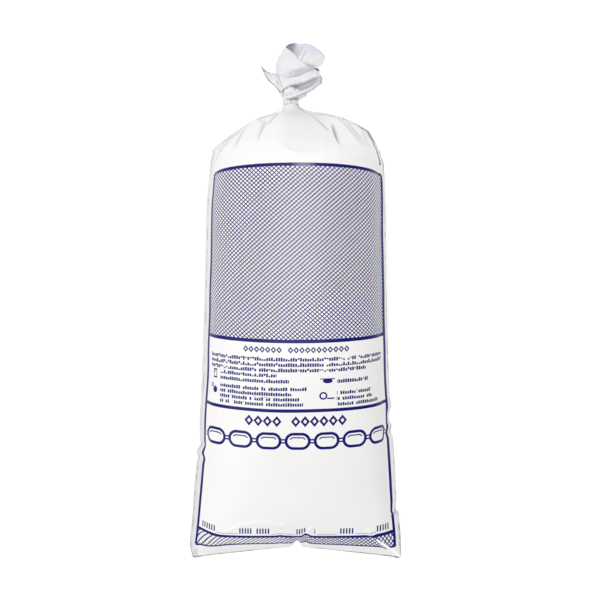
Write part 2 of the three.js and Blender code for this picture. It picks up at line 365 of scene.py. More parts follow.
def dent(u, y):
    """How far a film point near a side crease is pushed in, in millimetres."""
    off_crease = abs(u) - FLAT_WIDTH / 2
    return sum(
        depth * bell((y - place) / half) * bell(off_crease / reach)
        for side, place, half, depth, reach in DENTS
        if side == math.copysign(1, u)
    )


# %% [markdown]
# ## The bell under the neck
# Below the tie the front film is pulled into a flat, slightly hollow panel shaped like a bell.
# Its bottom edge is a bright smiling line, where the flat part meets the round filling again.
# Inside it the film's colour is painted greyer, as painted shade on a panel tilted from the light.
# We find how far a point is inside that outline and pull it towards the plane of the bell.

# %% The drawn-in bell
BELL_MIDDLE = 5.2
BELL_HALF, BELL_SIDE = 17.0, 11.0
BELL_FOOT_Y = 79.4
BELL_FOOT_CURVE = 0.036
BELL_STEP, BELL_STEP_WIDTH, BELL_STEP_FADE = 0.4, 2.6, 6.0
BELL_HOLLOW, BELL_HOLLOW_WIDTH, BELL_LENGTH = 0.8, 4, 22.0
SMILE_HEIGHT, SMILE_WIDTH = 0.45, 1.0
BELL_SHADE, BELL_SHADE_FROM, BELL_SHADE_WIDTH = 0.09, 1.0, 3


def bell_depth(x, y):
    """How deep the bell is at a plan position, less the raised smile at its foot, and its shade."""
    off = x - BELL_MIDDLE
    above = y - BELL_FOOT_Y - BELL_FOOT_CURVE * off * off
    sides = smooth((BELL_HALF - abs(off)) / BELL_SIDE)
    step = BELL_STEP * smooth(above / BELL_STEP_WIDTH) * math.exp(-max(0.0, above) / BELL_STEP_FADE)
    fade = math.exp(-max(0.0, above) / BELL_LENGTH)
    hollow = BELL_HOLLOW * smooth(above / BELL_HOLLOW_WIDTH) * fade
    # painted shade: the film inside the bell is greyed
    shade = BELL_SHADE * sides * smooth((above - BELL_SHADE_FROM) / BELL_SHADE_WIDTH)
    return sides * (step + hollow - SMILE_HEIGHT * bell(above / SMILE_WIDTH)), shade


# %% [markdown]
# ## Where a film point ends up
# The whole relief is added here: dents at the side creases, grooves and ridges along the normal,
# the bell, the folded corners of the weld, and the slow waves of a soft filling.

# %% Place one film point
CORNER_CUT = {"left": (3.4, 9.5), "right": (1.0, 4.0)}
CORNER_FROM, CORNER_POWER = 0.75, 1.6
NOTCH = {"x": 1.4, "depth": 5.5, "half": 1.7, "fade": 6.5}
FIN_FROM, FIN_SOFT = 58.6, 1.5
# painted shade on the fins, left and right
FIN_SHADE = {"left": 0.27, "right": 0.05}
SHADE_AT_SHOULDER = 0.5
WAVE_SIZE = 26
WAVE_HEIGHT = 0.55


def film_point(st, u, x, z):
    side = "right" if x > 0 else "left"
    across = abs(x) / (FLAT_WIDTH / 2)
    cut, length = CORNER_CUT[side]
    corner = max(0.0, 1 - st["from_seam"] / length) ** CORNER_POWER
    corner *= smooth((across - CORNER_FROM) / (1 - CORNER_FROM))
    x -= math.copysign(cut * corner, x)
    pushed = dent(u, st["y"])
    x -= math.copysign(1, x) * pushed
    z += DENT_LIFT * pushed
    arch = SEAM_ARCH * max(0.0, 1 - across) * math.exp(-st["from_seam"] / SEAM_ARCH_FADE)
    notch = NOTCH["depth"] * bell((x - NOTCH["x"]) / NOTCH["half"])
    notch *= math.exp(-st["from_seam"] / NOTCH["fade"])
    return Vector((st["x"] + x, st["y"] + arch + notch, max(0.0, st["z"] + z)))


def relief(st, place):
    """How far the film stands out from the smooth form here, in millimetres, and its shade."""
    depth, shade = crease_at(place.x, place.y)
    if st["dome"] > 0:
        hollow, grey = bell_depth(place.x, place.y)
        depth += hollow
        shade = max(shade, grey)
    wave = noise.noise(Vector((place.x, place.y, 0)) / WAVE_SIZE) * WAVE_HEIGHT
    return wave * st["rise"] * (1 - math.exp(-st["from_seam"] / WAVE_SIZE)) - depth, shade


def fin_shade(u, st):
    """Painted shade that greys the fins, stronger on the left and less towards the shoulder."""
    strength = FIN_SHADE["left" if u < 0 else "right"]
    strength *= mix(1, SHADE_AT_SHOULDER, clamp(st["from_seam"] / BODY_LENGTH))
    return strength * smooth((abs(u) - FIN_FROM) / FIN_SOFT)


# %% [markdown]
# ## Where the print lies on the film
# The print was flat when it was made. On the filled pack its lines bow, because the film's middle
# is pulled further round the filling than its edges. Instead of bending each line, we give the
# film a UV map that holds the flat artwork's own millimetres, already bowed and stretched.

# %% Film place to artwork place
ART_HALF_WIDTH = 57
ART_REACH = 58
ART_MIDDLE = (0.7, 0.15)  # its centre line on the film, at the shoulder and at the weld
ART_HALF = (55.5, 56.7)  # half its width on the film, at the shoulder and at the weld
LOW_BAR_Y = -21.0
BAR_BOW = -3.2
BOW_ABOVE, BOW_ABOVE_LENGTH = 5.9, 116.5
BOW_BELOW, BOW_BELOW_LENGTH = 2.1, 112
# place round the film, place along it, height, half width, fade
HUMPS = [
    (6.1, -138, 2.8, 2.1, 8), (1.2, -134, -1.2, 2.6, 5), (-8.6, -138, 0.6, 2.0, 8),
    (-50, -142, -1.5, 7, 4), (-26, -142, 0.8, 15, 4), (46, -142, -1.0, 14, 4),
]
STRIP_Y = (-134, -141)
CORNER_LIFT = {"left": (3.9, 0.7), "right": (1.2, -1.6)}
LIFT_FROM, LIFT_WIDTH, LIFT_POWER, LIFT_FADE = 40, 20, 1.4, 16


def artwork_place(u, y):
    """Where a film point lies on the flat artwork, sideways and along."""
    if abs(u) > FLAT_WIDTH / 2:
        return u, y
    t = (SHOULDER_Y - y) / BODY_LENGTH
    middle, half = mix(*ART_MIDDLE, t), mix(*ART_HALF, t)
    upper = BAR_BOW + BOW_ABOVE * (y - LOW_BAR_Y) / BOW_ABOVE_LENGTH
    lower = BAR_BOW + BOW_BELOW * ((LOW_BAR_Y - y) / BOW_BELOW_LENGTH) ** 2
    bow = upper if y > LOW_BAR_Y else lower
    hump = sum(
        height * bell((u - at_u) / wide) * bell((y - at_y) / fade)
        for at_u, at_y, height, wide, fade in HUMPS
    )
    above, below = CORNER_LIFT["left" if u < 0 else "right"]
    lift = mix(above, below, clamp((STRIP_Y[0] - y) / (STRIP_Y[0] - STRIP_Y[1])))
    lift *= smooth((abs(u) - LIFT_FROM) / LIFT_WIDTH) ** LIFT_POWER
    lift *= bell(max(0.0, y - STRIP_Y[0]) / LIFT_FADE)
    bowed = y - bow * (1 - min(1, abs(u) / ART_REACH) ** 2)
    return (u - middle) / half * ART_HALF_WIDTH, bowed - hump - lift


# %% [markdown]
# ## Spacing of the grid
# The grid is finer where there is more to show: in front, over the dome and near the weld. Two
# small functions turn a grid step into a place round the film and a place along the pack.

# %% Grid spacing
COLUMNS = 300
ROWS = 300
FRONT_COLUMNS = 0.7
CREASE_COLUMN = 98
FRONT_REACH = FLAT_WIDTH / 2 * (FRONT_COLUMNS * COLUMNS / 2) / CREASE_COLUMN
# share of the rows, and the place that it reaches
ROW_STOPS = [
    (0.0, SEAM_Y), (0.12, SEAM_Y + 22), (0.62, SHOULDER_Y - 8), (0.9, FUNNEL_Y - 2),
    (1.0, TIE_TOP_Y + 1),
]


def film_u(g):
    edge = (1 - FRONT_COLUMNS) / 2
    if g < edge:
        return mix(-GIRTH / 2, -FRONT_REACH, g / edge)
    if g > 1 - edge:
        return mix(FRONT_REACH, GIRTH / 2, (g - 1 + edge) / edge)
    return mix(-FRONT_REACH, FRONT_REACH, (g - edge) / FRONT_COLUMNS)


def film_y(g):
    for (g0, y0), (g1, y1) in zip(ROW_STOPS, ROW_STOPS[1:]):
        if g <= g1:
            return mix(y0, y1, (g - g0) / (g1 - g0))
    return ROW_STOPS[-1][1]


# %% [markdown]
# ## The film body
# A flat grid is the tube cut open along the back's centre line. Each of its vertices is moved to
# its place on the filled pack, then the two cut edges and the weld are merged. A lathe or a cloth
# simulation could make the tube as well, but only this keeps the flat film's own millimetres.

# %% Bend the grid round the filling
ART = "artwork"
FLAT = "flat film"
PLEAT = "pleat shade"
MERGE_MM = 0.02
FRONT_EDGE = 0.3  # the relief fades out where the film turns down


def film_body():
    mesh = bmesh.new()
    bmesh.ops.create_grid(mesh, x_segments=COLUMNS, y_segments=ROWS, size=0.5)
    # the layers come before the vertices are kept in a table, because a new layer renews them
    art = mesh.loops.layers.uv.new(ART)
    flat = mesh.loops.layers.uv.new(FLAT)
    shades = mesh.verts.layers.float.new(PLEAT)
    places = [film_u(c / COLUMNS) for c in range(COLUMNS + 1)]
    rows, printed, stations = {}, {}, {}
    for vertex in mesh.verts:
        u = places[round((vertex.co.x + 0.5) * COLUMNS)]
        row = round((vertex.co.y + 0.5) * ROWS)
        if row not in rows:
            st = station(film_y(row / ROWS))
            rows[row] = (st, section(st, places))
        st, found = rows[row]
        vertex.co = film_point(st, u, *found[u]) * MM
        printed[vertex] = (*artwork_place(u, st["y"]), u, st["y"])
        stations[vertex] = st
    for face in mesh.faces:
        for loop in face.loops:
            x, y, flat_x, flat_y = printed[loop.vert]
            loop[art].uv = (x / GIRTH + 0.5, (y - SEAM_Y) / PACK_LENGTH)
            loop[flat].uv = (flat_x / GIRTH + 0.5, (flat_y - SEAM_Y) / PACK_LENGTH)
    bmesh.ops.remove_doubles(mesh, verts=mesh.verts, dist=MERGE_MM * MM)
    bmesh.ops.recalc_face_normals(mesh, faces=mesh.faces)
    mesh.normal_update()
    moves = {}
    for vertex in mesh.verts:
        if vertex.normal.z > 0:
            out, shade = relief(stations[vertex], vertex.co / MM)
            moves[vertex] = vertex.normal * smooth(vertex.normal.z / FRONT_EDGE) * out
            # the painted shade of the pleats, the bell and the fins is kept on each vertex
            vertex[shades] = max(shade, fin_shade(printed[vertex][2], stations[vertex]))
    for vertex, move in moves.items():
        vertex.co += move * MM
    return mesh


# %% Turn a bmesh into a piece of the pack
def piece_from(mesh, name, material, node):
    data = bpy.data.meshes.new(name)
    mesh.to_mesh(data)
    mesh.free()
    data.materials.append(material)
    data.shade_smooth()
    piece = bpy.data.objects.new(name, data)
    bpy.context.scene.collection.objects.link(piece)
    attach(piece, "root")
    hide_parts(node)
    print(name, len(data.vertices), "vertices", len(data.polygons), "faces")
    return piece


# %% [markdown]
# ## Materials
# The film is blown low-density polyethylene, coloured white all through: glossy, a little milky,
# with the faint ripple that film gets as it cools. Its print is a navy flexographic ink, a coat
# so thin that it takes on the film's gloss. Both are made of nodes, so nothing is an image.


# %% Colour and node helpers
def srgb(code):
    """A colour's hex code as linear light, by the curve of the sRGB standard."""
    channels = [int(code[i : i + 2], 16) / 255 for i in (0, 2, 4)]
    return [c / 12.92 if c <= 0.04045 else ((c + 0.055) / 1.055) ** 2.4 for c in channels] + [1.0]


def add(tree, kind, *inputs, out=0):
    """Adds a node, sets it, and links or fills its inputs in order; None leaves one alone."""
    blender_name, settings = kind
    made = tree.nodes.new(blender_name)
    for name, value in settings.items():
        setattr(made, name, value)
    for socket, value in zip(made.inputs, inputs):
        if isinstance(value, bpy.types.NodeSocket):
            tree.links.new(value, socket)
        elif value is not None:
            socket.default_value = value
    return made.outputs[out]


# a kind is Blender's name for a node and the node's settings
PLUS, MINUS, TIMES, OVER, TIMES_PLUS, WITHIN, LARGER, SMALLER, LESS, MORE, SIZE, CELL, PART = (
    ("ShaderNodeMath", {"operation": word})
    for word in (
        "ADD", "SUBTRACT", "MULTIPLY", "DIVIDE", "MULTIPLY_ADD", "COMPARE", "MAXIMUM", "MINIMUM",
        "LESS_THAN", "GREATER_THAN", "ABSOLUTE", "FLOOR", "FRACT",
    )
)
LENGTH = ("ShaderNodeVectorMath", {"operation": "LENGTH"})
BLEND = ("ShaderNodeMix", {"data_type": "RGBA"})
UNUSED = (None,) * 5  # the Mix node's sockets for numbers and vectors come before those for colours
NOISE, BUMP, RANGE, SPLIT, JOIN, PLACE = (
    ("ShaderNode" + word, {})
    for word in ("TexNoise", "Bump", "MapRange", "SeparateXYZ", "CombineXYZ", "TexCoord")
)
WHITE = "FFFFFF"

# %% [markdown]
# ## White film
# Polyethylene has an index of refraction of 1.5. Blown film is glossy, roughness about 0.3, and
# scatters a little light inside. Its ripple is some 9 mm long and only hundredths of a
# millimetre high, so it is a bump and not geometry.

# %% Polyethylene film
FILM_WHITE = "F1F0EF"
FILM_MILKY = "EAE9E8"
FILM_ROUGHNESS = 0.34
FILM_SPECULAR = 0.28
FILM_IOR = 1.5
MILKY_MM = 40
RIPPLE_MM = 9
RIPPLE_STRENGTH, RIPPLE_HEIGHT_MM = 0.6, 0.05
DETAIL, FINE_DETAIL, GRAIN = 2.0, 3.0, 0.5  # a noise's octaves, and how strong the next one is


def new_material(name, sockets):
    """A material, its node tree and its shader, with these sockets of the shader filled."""
    material = bpy.data.materials.new(name)
    material.use_nodes = True
    shader = material.node_tree.nodes["Principled BSDF"]
    for socket, value in sockets.items():
        shader.inputs[socket].default_value = value
    return material, material.node_tree, shader


def polyethylene(name, white, milky):
    """Plain film, returned with its tree and shader and with the colour that others draw over."""
    sockets = {"Roughness": FILM_ROUGHNESS, "IOR": FILM_IOR, "Specular IOR Level": FILM_SPECULAR}
    material, tree, shader = new_material(name, sockets)
    where = add(tree, PLACE, out=3)
    cloud = add(tree, NOISE, where, None, 1 / (MILKY_MM * MM), DETAIL, GRAIN)
    film = add(tree, BLEND, cloud, *UNUSED, srgb(white), srgb(milky), out=2)
    ripple = add(tree, NOISE, where, None, 1 / (RIPPLE_MM * MM), FINE_DETAIL, GRAIN)
    bump = add(tree, BUMP, RIPPLE_STRENGTH, RIPPLE_HEIGHT_MM * MM, None, ripple)
    tree.links.new(bump, shader.inputs["Normal"])
    return material, tree, shader, film


printed_film, tree, shader, film = polyethylene("printed_polyethylene_film", FILM_WHITE, FILM_MILKY)
print("film white", FILM_WHITE, "roughness", FILM_ROUGHNESS)

# %% [markdown]
# ## Creases and edges of the film
# Where white film is folded hard or cut, it turns away from the light, so a thin grey line of
# painted shade is drawn there, broken up by noise. The second UV map holds the flat film's own
# millimetres, so the line can be drawn just where the tube was pressed flat and where it was cut.

# %% Painted shade lines at the side creases and the cut end
# the grey of the painted shade: crease and cut-end lines, pleats, bell, fins and tail folds; also
# the tape's dust
EDGE_GREY = "70707A"
EDGE_LINE_MM = 0.5
EDGE_LINE_IN_MM = 0.7
END_LINE_MM = 0.9
BREAK_MM = 7
BREAKS, BREAK_GRAIN = (0.42, 0.62), 0.6
CREASE_GREY, END_GREY = (0.08, 0.7), (0.5, 1.0)

flat_split = add(tree, SPLIT, add(tree, ("ShaderNodeUVMap", {"uv_map": FLAT}))).node
flat_u = add(tree, TIMES_PLUS, flat_split.outputs[0], GIRTH, -GIRTH / 2)
flat_v = add(tree, TIMES_PLUS, flat_split.outputs[1], PACK_LENGTH, SEAM_Y)
film_side = add(tree, SIZE, flat_u)
at_crease = add(tree, WITHIN, film_side, FLAT_WIDTH / 2 - EDGE_LINE_IN_MM, EDGE_LINE_MM)
at_end = add(tree, LESS, flat_v, SEAM_Y + END_LINE_MM)
where = add(tree, PLACE, out=3)
breaks = add(tree, NOISE, where, None, 1 / (BREAK_MM * MM), DETAIL, BREAK_GRAIN)
crease_grey = add(tree, RANGE, breaks, *BREAKS, *CREASE_GREY)
end_grey = add(tree, RANGE, breaks, *BREAKS, *END_GREY)
at_crease = add(tree, TIMES, at_crease, crease_grey)
at_end = add(tree, TIMES, at_end, end_grey)
at_edge = add(tree, LARGER, at_crease, at_end)
film = add(tree, BLEND, at_edge, *UNUSED, film, srgb(EDGE_GREY), out=2)
# painted shade: the pleat shade attribute greys the film's colour
pleat = add(tree, ("ShaderNodeAttribute", {"attribute_name": PLEAT}), out=2)
film = add(tree, BLEND, pleat, *UNUSED, film, srgb(EDGE_GREY), out=2)

# %% [markdown]
# ## The artwork
# The print is drawn with plain maths. Every shape is a question that is answered with 1 or 0:
# is this point within half a bar's width of the bar? The answers are joined by taking the larger.
# First the UV map is turned back to millimetres, and front and back are told apart. The back
# has the same frame and lattice as the front, so near_u counts from whichever centre is nearer.

# %% Artwork coordinates in millimetres
def middle_and_half(low, high):
    return (low + high) / 2, (high - low) / 2


split = add(tree, SPLIT, add(tree, ("ShaderNodeUVMap", {"uv_map": ART}))).node
art_u = add(tree, TIMES_PLUS, split.outputs[0], GIRTH, -GIRTH / 2)
art_v = add(tree, TIMES_PLUS, split.outputs[1], PACK_LENGTH, SEAM_Y)
round_u = add(tree, SIZE, art_u)
on_front = add(tree, LESS, film_side, FLAT_WIDTH / 2)
from_back = add(tree, MINUS, FLAT_WIDTH, round_u)
near_u = add(tree, SMALLER, round_u, from_back)

# %% [markdown]
# ## Frame and bars
# A thin frame runs round the panel, crossed by thicker bars that divide it. Heights are artwork
# millimetres above the middle of the pack. The frame's line is wider on the upper half of the
# pack, and the bars are 1.2 to 1.9 mm thick.

# %% Frame lines and bars
FRAME_HALF = 59.5
FRAME_LINE_LOW, FRAME_LINE_HIGH = 1.55, 2.5
TOP_BAR, PANEL_BAR, TITLE_BAR, STRIP_TOP, STRIP_BOTTOM = 72.5, -17.5, -56.0, -134.8, -141.7
# height and thickness
BARS = [(TOP_BAR, 1.65), (PANEL_BAR, 1.9), (TITLE_BAR, 1.9), (STRIP_TOP, 1.7), (STRIP_BOTTOM, 1.2)]

inside_u = add(tree, LESS, near_u, FRAME_HALF)
inside_v = add(tree, WITHIN, art_v, *middle_and_half(STRIP_BOTTOM, TOP_BAR))
half_line = add(
    tree, RANGE, art_v, STRIP_BOTTOM, PANEL_BAR, FRAME_LINE_LOW / 2, FRAME_LINE_HIGH / 2
)
off_line = add(tree, MINUS, near_u, FRAME_HALF)
off_line = add(tree, SIZE, off_line)
frame_side = add(tree, LESS, off_line, half_line)
ink = add(tree, TIMES, frame_side, inside_v)
for level, thick in BARS:
    bar = add(tree, WITHIN, art_v, level, thick / 2)
    bar = add(tree, TIMES, bar, inside_u)
    ink = add(tree, LARGER, ink, bar)
print("bars", len(BARS))

# %% [markdown]
# ## The lattice
# The large panel and the narrow strip hold a net of diagonal lines, 1.8 and 1.6 mm apart, that
# climb and fall a little less steeply than 45 degrees. A height minus or plus a share of the
# sideways place stays the same along a slanting line, so each family of lines is one stripe. In
# the strip the falling family is faint on the left.

# %% Diagonal net
HEAVY_PITCH, LIGHT_PITCH = 1.76, 1.56
HEAVY_LINE, LIGHT_LINE = 0.52, 0.5
NET_SLOPE = 0.82
FAINT_TO, FAINT_FADE, FAINT_SHARE = -12, 10, 0.3
ALONG_HEIGHT = math.hypot(1, NET_SLOPE)

rising = add(tree, TIMES_PLUS, art_u, -NET_SLOPE, art_v)
falling = add(tree, TIMES_PLUS, art_u, NET_SLOPE, art_v)
in_panel = add(tree, WITHIN, art_v, *middle_and_half(PANEL_BAR, TOP_BAR))
in_strip = add(tree, WITHIN, art_v, *middle_and_half(STRIP_BOTTOM, STRIP_TOP))
shows = add(tree, RANGE, art_u, FAINT_TO, FAINT_TO + FAINT_FADE, FAINT_SHARE, 1.0)
shows = add(tree, LARGER, shows, in_panel)
families = [(rising, HEAVY_PITCH, HEAVY_LINE), (falling, LIGHT_PITCH, LIGHT_LINE)]
net = None
for diagonal, pitch, line in families:
    turned = add(tree, OVER, diagonal, ALONG_HEIGHT * pitch)
    stripe = add(tree, PART, turned)
    stripe = add(tree, LESS, stripe, line / pitch)
    if net is None:
        net = stripe
    else:
        stripe = add(tree, TIMES, stripe, shows)
        net = add(tree, LARGER, net, stripe)
net_field = add(tree, LARGER, in_panel, in_strip)
net_field = add(tree, TIMES, net_field, inside_u)
net = add(tree, TIMES, net, net_field)
border_ink = add(tree, LARGER, ink, net)

# %% [markdown]
# ## Rows of small print
# Small print is fine enough to read as a grey tone from arm's length. Ours is rows of small upright
# ticks in groups, so the panel keeps its grey value without any letters. A random number per tick
# decides its height, and now and then leaves one out as a space.

# %% Row table and the ticks
# left end, right end, middle height, tick height
SMALL_ROWS = [
    (-54.0, 55.4, -27.3, 2.2), (-54.0, 55.2, -30.3, 2.2), (-54.0, 40.0, -33.3, 2.2),
    (-45.8, -11.7, -36.2, 2.2), (-45.8, -4.7, -39.4, 2.2), (-45.8, 5.3, -43.7, 2.2),
    (-45.8, -3.3, -46.6, 2.2), (-45.8, 1.0, -49.5, 2.2), (-45.8, 3.3, -52.4, 2.2),
    (22.3, 41.4, -39.7, 2.3), (22.3, 44.0, -46.2, 2.2), (22.3, 45.0, -49.4, 2.2),
    (22.3, 49.2, -52.6, 2.2),
]
TICK_PITCH = 1.35
TICK_WIDTH = 0.77
LOWEST_TICK, TICK_GROWTH = 1.25, 0.9
ROW_PITCH = 3.05
SPACES = 0.14  # the share of ticks that are left out

rows = across_row = None
for left, right, middle, height in SMALL_ROWS:
    field = add(tree, WITHIN, art_u, *middle_and_half(left, right))
    band = add(tree, WITHIN, art_v, middle, height / 2)
    field = add(tree, TIMES, field, band)
    rise = add(tree, MINUS, art_v, middle - height / 2)
    rise = add(tree, TIMES, rise, field)
    rows = field if rows is None else add(tree, LARGER, rows, field)
    across_row = rise if across_row is None else add(tree, LARGER, across_row, rise)
tick_at = add(tree, OVER, art_u, TICK_PITCH)
tick_number = add(tree, CELL, tick_at)
row_number = add(tree, OVER, art_v, ROW_PITCH)
row_number = add(tree, CELL, row_number)
cell = add(tree, JOIN, tick_number, row_number, 0.0)
chance = add(tree, ("ShaderNodeTexWhiteNoise", {"noise_dimensions": "2D"}), cell)
kept = add(tree, MORE, chance, SPACES)
tick = add(tree, PART, tick_at)
tick = add(tree, LESS, tick, TICK_WIDTH)
tall = add(tree, TIMES_PLUS, chance, TICK_GROWTH, LOWEST_TICK)
under = add(tree, LESS, across_row, tall)
small_print = add(tree, TIMES, rows, tick)
small_print = add(tree, TIMES, small_print, kept)
ink = add(tree, TIMES, small_print, under)
print("small rows", len(SMALL_ROWS))

# %% [markdown]
# ## Headings
# Two rows of open lozenges head the middle and the lower panel. A lozenge is a distance: sideways
# plus upward offset from its centre, and its outline is where that distance lies within half a
# stroke of its size. A mesh could be cut to the same shape, but ink has no thickness.

# %% Rows of lozenges
# left end, right end, middle height, height, stroke, number of places, place left empty
LOZENGE_ROWS = [
    (-31.0, 29.4, -22.2, 3.6, 0.85, 19, 7),
    (-30.0, 28.4, -62.1, 6.4, 1.55, 11, 4),
]
SLANTED = 0.6  # half a stroke, measured upwards across a slanting side
for left, right, middle, height, stroke, places, gap in LOZENGE_ROWS:
    pitch = (right - left) / places
    along = add(tree, MINUS, art_u, left)
    along = add(tree, OVER, along, pitch)
    number = add(tree, CELL, along)
    is_gap = add(tree, WITHIN, number, gap, 0.5)
    sideways = add(tree, PART, along)
    sideways = add(tree, MINUS, sideways, 0.5)
    sideways = add(tree, SIZE, sideways)
    upward = add(tree, MINUS, art_v, middle)
    upward = add(tree, SIZE, upward)
    upward = add(tree, OVER, upward, height)
    distance = add(tree, PLUS, sideways, upward)
    half_stroke = SLANTED * stroke / height
    outline = add(tree, WITHIN, distance, 0.5 - half_stroke, half_stroke)
    field = add(tree, WITHIN, art_u, *middle_and_half(left, right))
    outline = add(tree, TIMES, outline, field)
    outline = add(tree, MINUS, outline, is_gap)
    ink = add(tree, LARGER, ink, outline)
print("lozenge rows", len(LOZENGE_ROWS))

# %% [markdown]
# ## The big row
# The largest line of print is a string of sausages in outline: a capsule repeated along the row,
# joined by short twists. A capsule is all points within its radius of a short level line, so its
# outline is a band of that distance.

# %% A string of links
CHAIN_LEFT, CHAIN_RIGHT, CHAIN_MIDDLE = -57.2, 58.0, -73.5
CHAIN_LINKS = 7
CHAIN_HEIGHT = 10.1
CHAIN_STROKE = 1.65
CHAIN_PITCH = (CHAIN_RIGHT - CHAIN_LEFT) / CHAIN_LINKS
TWIST, TWIST_LAP = 1.7, 0.4  # length between two links, and how far it runs into each
TWIST_OFF, TWIST_HALF_LINE = 0.9, 0.45
SHINE_IN, SHINE_HALF_LINE, SHINE_FROM = 2.1, 0.35, 1.0

along = add(tree, MINUS, art_u, CHAIN_LEFT)
along = add(tree, OVER, along, CHAIN_PITCH)
along = add(tree, PART, along)
along = add(tree, MINUS, along, 0.5)
along = add(tree, SIZE, along)
along = add(tree, TIMES, along, CHAIN_PITCH)
upward = add(tree, MINUS, art_v, CHAIN_MIDDLE)
radius = CHAIN_HEIGHT / 2 - CHAIN_STROKE / 2
past_end = add(tree, MINUS, along, CHAIN_PITCH / 2 - TWIST / 2 - CHAIN_HEIGHT / 2)
past_end = add(tree, LARGER, past_end, 0.0)
spot = add(tree, JOIN, past_end, upward, 0.0)
reach = add(tree, LENGTH, spot, out=1)
links = add(tree, WITHIN, reach, radius, CHAIN_STROKE / 2)
between = add(tree, MORE, along, CHAIN_PITCH / 2 - TWIST / 2 - TWIST_LAP)
ties = add(tree, SIZE, upward)
ties = add(tree, WITHIN, ties, TWIST_OFF, TWIST_HALF_LINE)
ties = add(tree, TIMES, ties, between)
shine = add(tree, WITHIN, reach, radius - SHINE_IN, SHINE_HALF_LINE)
above = add(tree, MORE, upward, SHINE_FROM)
shine = add(tree, TIMES, shine, above)
chain = add(tree, LARGER, links, ties)
chain = add(tree, LARGER, chain, shine)
field = add(tree, WITHIN, art_u, *middle_and_half(CHAIN_LEFT, CHAIN_RIGHT))
chain = add(tree, TIMES, chain, field)
ink = add(tree, LARGER, ink, chain)
print("links", CHAIN_LINKS, "each", round(CHAIN_PITCH, 1), "mm")

# %% [markdown]
# ## Small marks
# Four little signs stand beside the small rows, and above the strip runs a row of short bars with
# thin rules between them. The signs are plain shapes: boxes, discs, a dish, and a ring with a
# handle. Each shape is a box or an oval with or without its middle.

# %% Reach of a box and of an oval, 0 in its middle and 1 at its edge
def offsets(left, right, low, high):
    for place, ends in ((art_u, (left, right)), (art_v, (low, high))):
        middle, half = middle_and_half(*ends)
        yield add(tree, OVER, add(tree, MINUS, place, middle), half)


def box_reach(*sides):
    return add(tree, LARGER, *(add(tree, SIZE, offset) for offset in offsets(*sides)))


def oval_reach(*sides):
    return add(tree, LENGTH, add(tree, JOIN, *offsets(*sides), 0.0), out=1)


# %% Boxes and ovals
# kind, left, right, low, high, stroke (0 is filled)
MARKS = [
    ("box", -51.6, -48.6, -40.6, -35.4, 0.5), ("box", -50.9, -50.3, -38.0, -36.4, 0),
    ("oval", -53.9, -51.3, -46.0, -43.6, 0.6), ("oval", -51.6, -48.2, -49.0, -45.2, 0),
    ("oval", 14.2, 19.8, -40.8, -38.2, 0), ("box", 12.8, 21.0, -38.6, -38.0, 0),
    ("oval", 12.3, 16.9, -50.0, -45.6, 0.9), ("box", 16.6, 21.0, -49.7, -48.9, 0),
]
# left end, right end and how many bars
BAR_MARKS = [
    (-56.2, -46.9, 6), (-32.9, -25.0, 5), (-22.8, -14.6, 5), (0.4, 6.2, 4), (10.8, 11.6, 1),
    (25.8, 34.4, 5), (47.8, 56.8, 5),
]
BAR_SHARE = 0.5  # how much of its step a bar fills
MARKS_LOW, MARKS_HIGH = -132.5, -128.6
RULE_LOW, RULE_HIGH = -132.85, -132.6
RULES = [(-46.5, -33.5), (-14.2, -0.4), (12.4, 24.2), (35.0, 47.4)]
for start, end, count in BAR_MARKS:
    step = (end - start) / count
    for i in range(count):
        sides = (start + i * step, start + (i + BAR_SHARE) * step, MARKS_LOW, MARKS_HIGH)
        MARKS.append(("box", *sides, 0))
for start, end in RULES:
    MARKS.append(("box", start, end, RULE_LOW, RULE_HIGH, 0))
for kind, *sides, stroke in MARKS:
    left, right, low, high = sides
    reach = box_reach(*sides) if kind == "box" else oval_reach(*sides)
    band = 1.0 if stroke == 0 else 2 * stroke / min(right - left, high - low)
    mark = add(tree, WITHIN, reach, 1 - band / 2, band / 2)
    ink = add(tree, LARGER, ink, mark)
print("marks", len(MARKS))

# %% [markdown]
# ## Where the print is turned, faded, and covered by a painted highlight
# On the right shoulder the film has slipped round a little, so the border of the back shows there
# as a leaning line. Along a hard fold in the lower right corner runs a painted highlight: the ink
# is left out there and the film is painted pure white. Where the smile touches the top bar, the
# ink fades in a small oval.

# %% Shoulder line, painted highlight on a fold, and faded ink spot
SHOULDER_LINE_U, SHOULDER_LEAN, SHOULDER_LINE_HALF = 59.2, 0.22, 0.7
SHOULDER_LINE_LOW, SHOULDER_LINE_HIGH = 78.0, 91.5
# painted highlight along a hard fold in the lower right corner
HIGHLIGHT_ACROSS, HIGHLIGHT_ALONG, HIGHLIGHT_OFFSET, HIGHLIGHT_HALF, HIGHLIGHT_FROM = 0.64, 0.768, 75.1, 0.65, 47.5
# a small oval where the top bar's ink fades
INK_FADE_SIDES = (-5.2, 9.8, 70.7, 74.3)
INK_FADE_CORE, INK_FADE_STRENGTH = 0.3, 0.22

lean = add(tree, TIMES_PLUS, art_v, -SHOULDER_LEAN, SHOULDER_LEAN * SHOULDER_LINE_LOW)
line = add(tree, WITHIN, add(tree, PLUS, art_u, lean), SHOULDER_LINE_U, SHOULDER_LINE_HALF)
on_shoulder = add(tree, WITHIN, art_v, *middle_and_half(SHOULDER_LINE_LOW, SHOULDER_LINE_HIGH))
line = add(tree, TIMES, line, on_shoulder)
ink = add(tree, LARGER, ink, line)

